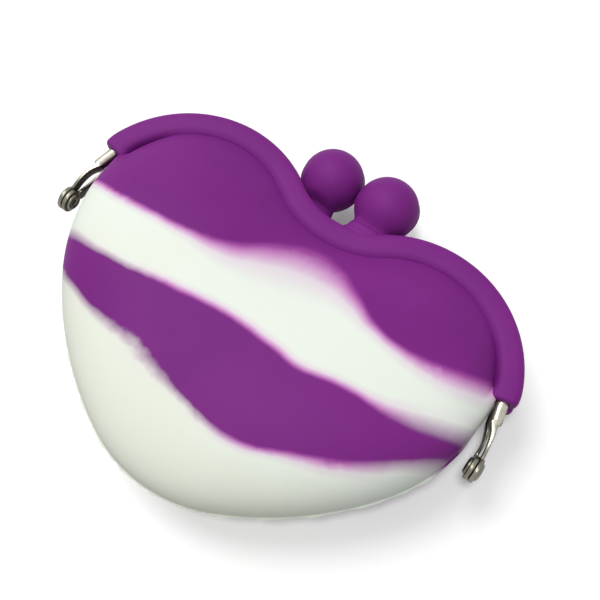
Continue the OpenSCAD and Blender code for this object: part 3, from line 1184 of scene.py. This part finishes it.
    def back_top(self) -> bpy.types.Object:
        """The back wall between the hem's height and the brim.

        Returns:
            The piece: a face that is as wide as the lobes are at the hem, outside and inside.
        """
        skin = Surface()
        lobe_in = FORM.lobe_r - FORM.rim_w - FORM.seam + FORM.tuck
        half_w = math.sqrt(lobe_in**2 - (self.hem_y - FORM.lobe_c[1]) ** 2)
        x = self.across(FORM.lobe_c[0] + half_w)
        a = np.abs(x)[None, :]
        share = np.concatenate([[0.0, 0.02], np.linspace(0.06, 1.0, self.top_rows)])[:, None]
        walls = []
        for inset in (0.0, FORM.wall):
            y = self.hem_y + (FORM.brim_y(a, FORM.tuck) - self.hem_y) * share
            walls.append(self.place(x, y, -FORM.upper_z(a, y, inset), inset))
            skin.grid(walls[-1])
        skin.strip(walls[0][0], walls[1][0])
        skin.strip(walls[0][-1], walls[1][-1])
        return skin.piece("pouch_back_top")

    def build(self, finish: bpy.types.Material) -> None:
        """Makes the three pieces, bakes the front and the back where they stand and lets the top
        ride on the back half.

        Args:
            finish: their material.
        """
        front = self.shell("pouch_front", self.front_rows, 0)
        back = self.shell("pouch_back", self.back_rows, len(self.levels) // 2)
        top = self.back_top()
        slope = 1.0 / (self.hem_y - self.bend_from)
        reach = 1.0 / (self.split_z + FORM.brim_h)
        start = HINGE + np.array([0.0, self.bend_from, 0.0])
        end = HINGE + np.array([0.0, self.hem_y, 0.0])
        tuple(end * MM)
        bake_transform(front)
        start = HINGE + np.array([0.0, self.hem_y, -FORM.brim_h])
        end = start + np.array([0.0, slope, reach]) / (slope**2 + reach**2)
        tuple(end * MM)
        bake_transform(back)
        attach(top, "back_half")
        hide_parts("front_panel")
        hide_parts("pouch_body")
        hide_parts("pouch_body")
        for piece in (front, back, top):
            piece.data.materials.append(finish)
            log.info("built %s", piece.name)


@dataclass(frozen=True)
class Rim:
    """The thick rim of one half, rounded off where the frame's tube leaves it."""

    half: Half
    power: float = 3.0
    gap: float = 0.15
    oval_from: float = math.radians(118.0)
    oval_to: float = math.radians(-188.0)
    merge_from: float = math.radians(100.0)
    fillet: float = 1.3
    skirt: int = 24
    skirt_w: float = 0.55
    skirt_fall: float = 2.5
    under_in: float = 0.35
    under_up: float = 0.1
    sink: float = 0.1
    sink_run: float = 0.45
    groove: float = 0.05
    groove_in: float = 0.1
    groove_w: float = 0.17
    end_round: float = 0.9
    end_narrow: float = 0.17
    end_flat: float = 0.2
    stations: int = 190
    end_steps: int = 6
    fine_steps: int = 16
    outline: int = 52
    cap_shrink: tuple[float, ...] = (1.0, 0.93, 0.8, 0.66, 0.56, 0.5, 0.45, 0.0)
    cap_reach: tuple[float, ...] = (0.0, 0.04, 0.06, 0.04, -0.06, -0.3, -0.8, -1.0)

    @property
    def half_w(self) -> float:
        """Half the rim's width."""
        return FORM.rim_w / 2

    def section(self) -> tuple[np.ndarray, np.ndarray, np.ndarray]:
        """The rim's section, a blunt oval whose inner upper side runs out into a skirt.

        Returns:
            Distances outwards from the middle line, heights, and a mark that is 1 where the
            section merges with the pouch's wall.
        """
        mid, rise = (FORM.rim_h + self.gap) / 2, (FORM.rim_h - self.gap) / 2
        angle = np.linspace(self.oval_from, self.oval_to, self.outline)
        c, s = superellipse(angle, self.power)
        u, z = c * self.half_w, mid + s * rise
        skirt_u = np.linspace(-self.half_w - self.skirt_w, u[0], self.skirt + 1)[:-1]
        inner = np.clip(-skirt_u / self.half_w, 0.0, 1.0)
        skirt_z = mid + rise * (1.0 - inner**self.power) ** (1.0 / self.power)
        skirt_z -= self.skirt_fall * np.maximum(0.0, -skirt_u - self.half_w)
        return (
            np.concatenate([skirt_u, u, [-self.half_w - self.under_in]]),
            np.concatenate([skirt_z, z, [mid + self.under_up]]),
            np.concatenate([np.ones(self.skirt), (angle > self.merge_from) * 1.0, [0.0]]),
        )

    def rows(self) -> np.ndarray:
        """The section carried along the rim, from the left end to the right one.

        Returns:
            A grid. The skirt is the softened maximum of the section and the pouch's face, less a
            sink at its border and a fine groove beside the rim, and both ends are narrowed as a
            quarter circle over the last end_round of their length.
        """
        u, z, merged = self.section()
        share = np.linspace(0.0, 1.0, self.stations)[: -self.end_steps]
        last = 1.0 - (self.end_steps - 1) / (self.stations - 1)
        fine = 1.0 - (1.0 - last) * np.linspace(1.0, 0.0, self.fine_steps) ** 1.6
        share = np.concatenate([share, fine])
        lobe_length = FORM.mid_r * (FORM.lobe_turn - FORM.rim_end_turn)
        left = (1.0 - share) / (1.0 - FORM.notch_share) * lobe_length
        bite = 1.0 - np.sqrt(1.0 - np.clip(1.0 - left / self.end_round, 0.0, 1.0) ** 2)
        bite = bite[:, None]
        narrow_u = u[None, :] * (1.0 - self.end_narrow * bite)
        shares = np.broadcast_to(share[:, None], narrow_u.shape)
        xy = FORM.rim_path(shares, narrow_u, FORM.rim_end_turn)
        x = np.minimum(xy[..., 0], FORM.side_x)
        panel = FORM.settle(x, xy[..., 1], FORM.upper_z(x, xy[..., 1], 0.0))
        sink = self.sink * smoothstep((-u - self.half_w) / self.sink_run)
        beside = (u + self.half_w - self.groove_in) / self.groove_w
        sink = sink + self.groove * np.exp(-(beside**2))
        blended = soft_max(panel, z[None, :], self.fillet) - sink
        z = np.where(merged[None, :] > 0, blended, z[None, :])
        z = FORM.tube_z + (z - FORM.tube_z) * (1.0 - self.end_flat * bite)
        return both_sides(FORM.lean_in(np.concatenate([xy, z[..., None]], -1)))

    def build(self, finish: bpy.types.Material) -> bpy.types.Object:
        """Makes the rim and closes its ends on the tube.

        Args:
            finish: its material.
        Returns:
            The piece. Each cap is the end row, shrunk towards its centre and set ahead in steps.
        """
        rows = self.rows()
        skin = Surface()
        skin.grid(self.half.place(rows), close_columns=True)
        shrink = np.array(self.cap_shrink)[:, None, None]
        reach = np.array(self.cap_reach)[:, None, None]
        x, y = FORM.rim_path(np.array(1.0), np.array(0.0), FORM.rim_end_turn)
        ahead_x, ahead_y = bearing(FORM.rim_end_turn)
        for end, side in ((rows[0], -1.0), (rows[-1], 1.0)):
            centre = FORM.lean_in(np.array([side * x, y, FORM.tube_z]))
            ahead = np.array([side * ahead_x, ahead_y, 0.0])
            cap = centre + (end - centre) * shrink + ahead * reach
            skin.grid(self.half.place(cap), close_columns=True)
        made = skin.piece(f"{self.half.word}_rim_bead")
        return dress(made, finish, f"{self.half.word}_rim", self.half.body)


@dataclass(frozen=True)
class ClaspBall:
    """A clasp ball with the neck that grows out of its rim."""

    half: Half
    ball_r: float = 6.8
    x: float = 6.85
    y: float = 36.2
    z: float = 1.0
    neck_from: float = -9.9
    neck_to: float = 2.0
    ball_from: float = -7.0
    neck_w: float = 4.2
    neck_h: float = 2.05
    neck_z: float = 2.55
    flare_w: float = 0.9
    flare_h: float = 0.12
    flare_to: float = -9.0
    flare_run: float = 0.6
    dip_from: float = -5.4
    dip_run: float = 2.4
    fillet_w: float = 1.1
    fillet_h: float = 0.9
    fin_h: float = 0.2
    fin_w: float = 0.16
    beside_fin: tuple[float, ...] = (-0.12, -0.045, -0.022, 0.0, 0.022, 0.045, 0.12)

    def rows(self) -> np.ndarray:
        """An oval carried along the axis from the rim to the ball's far pole.

        Returns:
            A grid. The oval's half width is the larger of the neck's and the ball's,
            sqrt(r^2 - s^2), with a fillet, its half height likewise, and the mould's fin runs
            along both of its sides.
        """
        ease = 0.5 - 0.5 * np.cos(np.linspace(0.0, math.pi, 76))
        neck = np.linspace(self.neck_from, self.ball_from, 22)[:-1]
        s = np.concatenate([neck, self.ball_from + (self.ball_r - self.ball_from) * ease])
        ball = np.sqrt(np.maximum(0.0, self.ball_r**2 - s**2))
        flare = np.exp(-np.maximum(0.0, s - self.flare_to) / self.flare_run)
        neck_w = np.where(s < self.neck_to, self.neck_w + self.flare_w * flare, 0.0)
        neck_h = np.where(s < self.neck_to, self.neck_h + self.flare_h * flare, 0.0)
        wide = np.where(s < 0.0, soft_max(ball, neck_w, self.fillet_w), ball)
        tall = np.where(s < 0.0, soft_max(ball, neck_h, self.fillet_h), ball)
        z = self.z + (self.neck_z - self.z) * smoothstep((self.dip_from - s) / self.dip_run)
        half_turn = np.concatenate([self.beside_fin, np.linspace(0.22, math.pi - 0.22, 30)])
        angle = np.concatenate([half_turn, half_turn + math.pi])
        fin = self.fin_h * np.exp(-((np.sin(angle) * self.ball_r / self.fin_w) ** 2))
        fin = fin[None, :] * (wide > 1.0)[:, None]
        x = self.x + (wide[:, None] + fin) * np.cos(angle)
        y = np.broadcast_to(self.y + s[:, None], x.shape)
        return np.stack([x, y, z[:, None] + tall[:, None] * np.sin(angle)], -1)

    def build(self, finish: bpy.types.Material) -> bpy.types.Object:
        """Makes the ball and closes its neck inside the rim.

        Args:
            finish: its material.
        Returns:
            The piece.
        """
        rows = self.half.place(self.rows())
        skin = Surface()
        skin.grid(rows, close_columns=True)
        skin.cone(rows[0], rows[0].mean(0))
        made = skin.piece(f"{self.half.word}_clasp_ball")
        return dress(made, finish, f"{self.half.word}_ball", self.half.body)


@dataclass(frozen=True)
class SteelFrame:
    """One frame: a rolled tube inside the rim, flattened at both ends into an arm with an eye."""

    half: Half
    eye_x: float
    tube_r: float = 1.28
    tube_power: float = 2.0
    arm_t: float = 0.38
    arm_w: float = 1.3
    arm_power: float = 2.6
    crimp_y: float = 9.6
    crimp_run: float = 1.0
    taper: float = 0.35
    taper_y: float = 5.0
    taper_run: float = 4.0
    tip_y: float = 1.6
    tip_run: float = 0.9
    tip_w: float = 0.55
    tip_thin: float = 0.06
    flush: float = 0.1
    flush_y: float = 4.6
    flush_run: float = 4.2
    early_turn: float = math.radians(6.0)
    eye_r: float = 2.6
    bore_r: float = 0.88
    eye_t: float = 0.5
    around: int = 40
    eye_around: int = 72
    eye_section: int = 28

    def side_path(self) -> np.ndarray:
        """The right side's middle line, from the notch's middle to the eye.

        Returns:
            Places: the rim's middle line, straight on out of it, and then a bend down to the eye,
            as a smooth curve through a few points.
        """
        last = math.asin((FORM.rim_end_y - FORM.lobe_c[1]) / FORM.mid_r) - self.early_turn
        share = np.linspace(0.0, 1.0, 110)
        bent = FORM.rim_path(share, np.zeros_like(share), last)
        bent = np.column_stack([bent, np.full(len(bent), FORM.tube_z)])
        steps = [bent[-1]]
        for reach in (1.2, 2.5, 3.6):
            steps.append([*(bent[-1, :2] + bearing(last) * reach), FORM.tube_z])
        x, y = steps[-1][:2]
        steps += [
            [x, y - 0.8, 2.35],
            [0.6 * x + 0.4 * self.eye_x + 0.2, y - 2.5, 2.15],
            [0.3 * x + 0.7 * self.eye_x + 0.2, 4.7, 1.6],
            [self.eye_x, 3.0, 0.9],
            [self.eye_x, 1.5, 0.4],
        ]
        return FORM.lean_in(np.vstack([bent[:-1], smooth_path(steps, 9)]))

    def rows(self) -> np.ndarray:
        """The tube and its flattened ends.

        Returns:
            A grid: a blunt oval carried along the path. It is round on the tube, and over a short
            crimp it turns flat, square to the hinge line, and moves flush with the pouch's side.
        """
        path = both_sides(self.side_path())
        x, y = path[:, 0], path[:, 1]
        ahead = unit(np.gradient(path, axis=0))
        outside = np.abs(x) > FORM.ends_x
        crimp = np.where(outside, smoothstep((self.crimp_y - y) / self.crimp_run), 0.0)[:, None]
        out = unit(np.stack([ahead[:, 1], -ahead[:, 0], 0.0 * y], -1))
        flat_out = np.stack([np.sign(x), 0.0 * y, 0.0 * y], -1)
        turn = np.sign(np.sum(out * flat_out, 1) + 1e-9)[:, None]
        out = unit(out * (1.0 - crimp) + flat_out * turn * crimp)
        across = unit(np.cross(ahead, out))
        y = y[:, None]
        tip = np.where(outside[:, None], smoothstep((y - self.tip_y) / self.tip_run), 1.0)
        taper = self.taper * smoothstep((y - self.taper_y) / self.taper_run) * (crimp > 0.0)
        thick = self.tube_r + (self.arm_t + taper - self.tube_r) * crimp
        thick = np.minimum(thick, self.tube_r) - self.tip_thin * (1.0 - tip)
        wide = self.tube_r + (self.arm_w - self.tube_r) * crimp
        wide = wide * (self.tip_w + (1.0 - self.tip_w) * tip)
        c, s = superellipse(ring_angles(self.around), self.tube_power + self.arm_power * crimp)
        flush = self.flush * crimp * smoothstep((y - self.flush_y) / self.flush_run)
        path = path - flat_out * flush
        return (
            path[:, None, :]
            + out[:, None, :] * (thick * c)[..., None]
            + across[:, None, :] * (wide * s)[..., None]
        )

    def eye(self, side: float) -> np.ndarray:
        """A flat ring about the hinge line, with rounded edges.

        Args:
            side: -1 for the left eye and 1 for the right one.
        Returns:
            A grid: a blunt oval turned about X.
        """
        c, s = superellipse(ring_angles(self.eye_section), 5.0)
        radius = (self.eye_r + self.bore_r) / 2 + c * (self.eye_r - self.bore_r) / 2
        turn = ring_angles(self.eye_around)[:, None]
        y, z = radius * np.cos(turn), radius * np.sin(turn)
        return np.stack([np.broadcast_to(side * self.eye_x + s * self.eye_t, y.shape), y, z], -1)

    def build(self, finish: bpy.types.Material) -> bpy.types.Object:
        """Makes the tube with its arms, closes its ends and adds the two eyes.

        Args:
            finish: its material.
        Returns:
            The piece.
        """
        rows = self.half.place(self.rows())
        skin = Surface()
        skin.grid(rows, close_columns=True)
        for end in (0, -1):
            skin.cone(rows[end], rows[end].mean(0))
        for side in (-1.0, 1.0):
            skin.grid(self.half.place(self.eye(side)), close_rows=True, close_columns=True)
        made = skin.piece(f"{self.half.word}_frame_wire", crease=50.0)
        return dress(made, finish, f"{self.half.word}_frame", self.half.body)


@dataclass(frozen=True)
class Rivet:
    """A rivet through two eyes, with a rolled head on each side."""

    word: str
    side: float
    inner: float = 49.0
    outer: float = 51.2
    shank_r: float = 0.8
    head_r: float = 1.9
    head_h: float = 0.6
    hollow_r: float = 0.62
    hollow_depth: float = 1.2
    around: int = 64

    def build(self, finish: bpy.types.Material) -> bpy.types.Object:
        """Turns the rivet's profile about the hinge line.

        Args:
            finish: its material.
        Returns:
            The piece. The outer head is a low dome, and the inner end is hollow and rolled over
            into a ring.
        """
        share = np.linspace(0.0, 1.0, 30)
        radius = self.head_r * share
        dome = self.head_h * np.sqrt(1.0 - share**2) ** 0.7
        ring_r = (self.head_r + self.hollow_r) / 2
        rolled = np.sqrt(np.maximum(0.0, 1.0 - ((radius - ring_r) / (self.head_r - ring_r)) ** 2))
        hollow = -self.hollow_depth * smoothstep((1.0 - share) * 3)
        rolled = np.where(radius < self.hollow_r, hollow, rolled)
        inner = np.column_stack([self.inner - self.head_h * rolled, radius])
        outer = np.column_stack([self.outer + dome, radius])[::-1]
        shank = np.array([[self.inner, self.shank_r], [self.outer, self.shank_r]])
        profile = np.vstack([inner, shank, outer])
        turn = ring_angles(self.around)[None, :]
        y, z = profile[:, 1:] * np.cos(turn), profile[:, 1:] * np.sin(turn)
        skin = Surface()
        x = np.broadcast_to(self.side * profile[:, :1], y.shape)
        skin.grid(np.stack([x, y, z], -1), close_columns=True)
        made = skin.piece(f"{self.word}_rolled_rivet")
        return dress(made, finish, f"{self.word}_rivet", "back_half")


# The setting


@dataclass(frozen=True)
class Studio:
    """A pale floor, soft light and the camera."""

    eye: tuple[float, float, float] = (40.4, -46.15, 185.3)
    aim: tuple[float, float, float] = (0.5, 11.05, 0.0)
    lens: float = 54.18
    sky: float = 0.34
    key_from: tuple[float, float, float] = (-0.56, 0.18, 0.9)
    key_spread: float = 32.0
    key_strength: float = 1.35
    top_from: tuple[float, float, float] = (-0.03, -0.14, 1.0)
    top_spread: float = 10.0
    top_strength: float = 0.98
    floor_reach: float = 2500.0
    floor_paint: float = 0.25
    floor_glow: float = 0.14

    def camera(self) -> None:
        """Puts the camera at the photograph's angle."""
        data = bpy.data.cameras.new("camera")
        data.lens, data.sensor_width = self.lens, 36.0
        data.clip_start, data.clip_end = 0.01, 20.0
        made = bpy.data.objects.new("camera", data)
        made.location = Vector(self.eye) * MM
        look = (Vector(self.aim) - Vector(self.eye)) * MM
        made.rotation_euler = look.to_track_quat("-Z", "Y").to_euler()
        bpy.context.scene.collection.objects.link(made)
        bpy.context.scene.camera = made

    @staticmethod
    def lamp(name: str, place: Sequence[float], spread: float, strength: float) -> None:
        """Adds an even light from far off.

        Args:
            name: the light's name.
            place: the direction that it comes from.
            spread: how wide it looks, in degrees, which softens its shadows.
            strength: its strength.
        """
        data = bpy.data.lights.new(name, "SUN")
        data.angle, data.energy = math.radians(spread), strength
        made = bpy.data.objects.new(name, data)
        made.rotation_euler = (-Vector(place)).to_track_quat("-Z", "Y").to_euler()
        bpy.context.scene.collection.objects.link(made)

    @staticmethod
    def seen(shader: Shader) -> Value:
        """Tells a look from light.

        Args:
            shader: the shader under construction.
        Returns:
            1 where a surface is looked at, directly, in a mirror or through glass, and else 0.
        """
        names = ("Is Camera Ray", "Is Glossy Ray", "Is Transmission Ray")
        rays = [shader.node("ShaderNodeLightPath", {}, {}, name) for name in names]
        return rays[0].most(rays[1]).most(rays[2])

    def world(self) -> None:
        """Even light from all round, and a white backdrop for the eye and for reflections."""
        world = bpy.data.worlds.new("studio")
        world.use_nodes = True
        bpy.context.scene.world = world
        shader = Shader(world.node_tree)
        strength = self.seen(shader) * (1.0 - self.sky) + self.sky
        inputs = {"Color": (1.0, 1.0, 1.0, 1.0), "Strength": strength}
        back = shader.node("ShaderNodeBackground", {}, inputs)
        shader.end("ShaderNodeOutputWorld", back)

    def floor(self) -> None:
        """A pale table top that keeps the purse's shadow."""
        across = np.array([-self.floor_reach, self.floor_reach])
        x, y = np.meshgrid(across, across)
        skin = Surface()
        skin.grid(np.stack([x, y, 0.0 * x], -1) - HINGE)
        made = skin.piece("table_top")
        material, shader = new_shader("pale_table")
        seen = self.seen(shader)
        shade = seen * (1.0 - self.floor_paint) + self.floor_paint
        paint = shader.node("ShaderNodeBsdfDiffuse", {}, {"Color": shade})
        glow = shader.node("ShaderNodeEmission", {}, {"Strength": seen * self.floor_glow})
        both = shader.node("ShaderNodeAddShader", {}, {0: paint, 1: glow})
        shader.end("ShaderNodeOutputMaterial", both)
        made.data.materials.append(material)

    def build(self) -> None:
        """Sets up camera, light and floor."""
        bpy.context.scene.view_settings.view_transform = "Standard"
        self.camera()
        self.world()
        self.floor()
        self.lamp("key_light", self.key_from, self.key_spread, self.key_strength)
        self.lamp("top_light", self.top_from, self.top_spread, self.top_strength)


def dress_cores(finish: bpy.types.Material) -> None:
    """Gives the CAD clasp cores, which the balls hide, their steel.

    Args:
        finish: their material.
    """
    for half in Half:
        core = frame["nodes"][f"{half.word}_clasp_core"]
        core.data.materials.clear()
        core.data.materials.append(finish)
        log.info("dressed the core of the %s clasp ball", half.word)


def main() -> None:
    """Builds the purse piece by piece and sets the scene."""
    logging.basicConfig(level=logging.INFO, format="%(name)s: %(message)s")
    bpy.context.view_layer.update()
    marbled = Silicone("marbled_silicone", marbled=True).make()
    plain = Silicone("purple_silicone", marbled=False).make()
    plated = PlatedSteel("plated_steel").make()
    core = PlatedSteel("core_steel", tint=(175, 172, 165), roughness=0.35).make()
    Pouch().build(marbled)
    for half, eye_x in ((Half.FRONT, 50.65), (Half.BACK, 49.55)):
        for part, finish in (
            (Rim(half), plain),
            (ClaspBall(half), plain),
            (SteelFrame(half, eye_x), plated),
        ):
            log.info("built %s", part.build(finish).name)
    for word, side in (("left", -1.0), ("right", 1.0)):
        log.info("built %s", Rivet(word, side).build(plated).name)
    dress_cores(core)
    Studio().build()


if __name__ == "__main__":
    main()
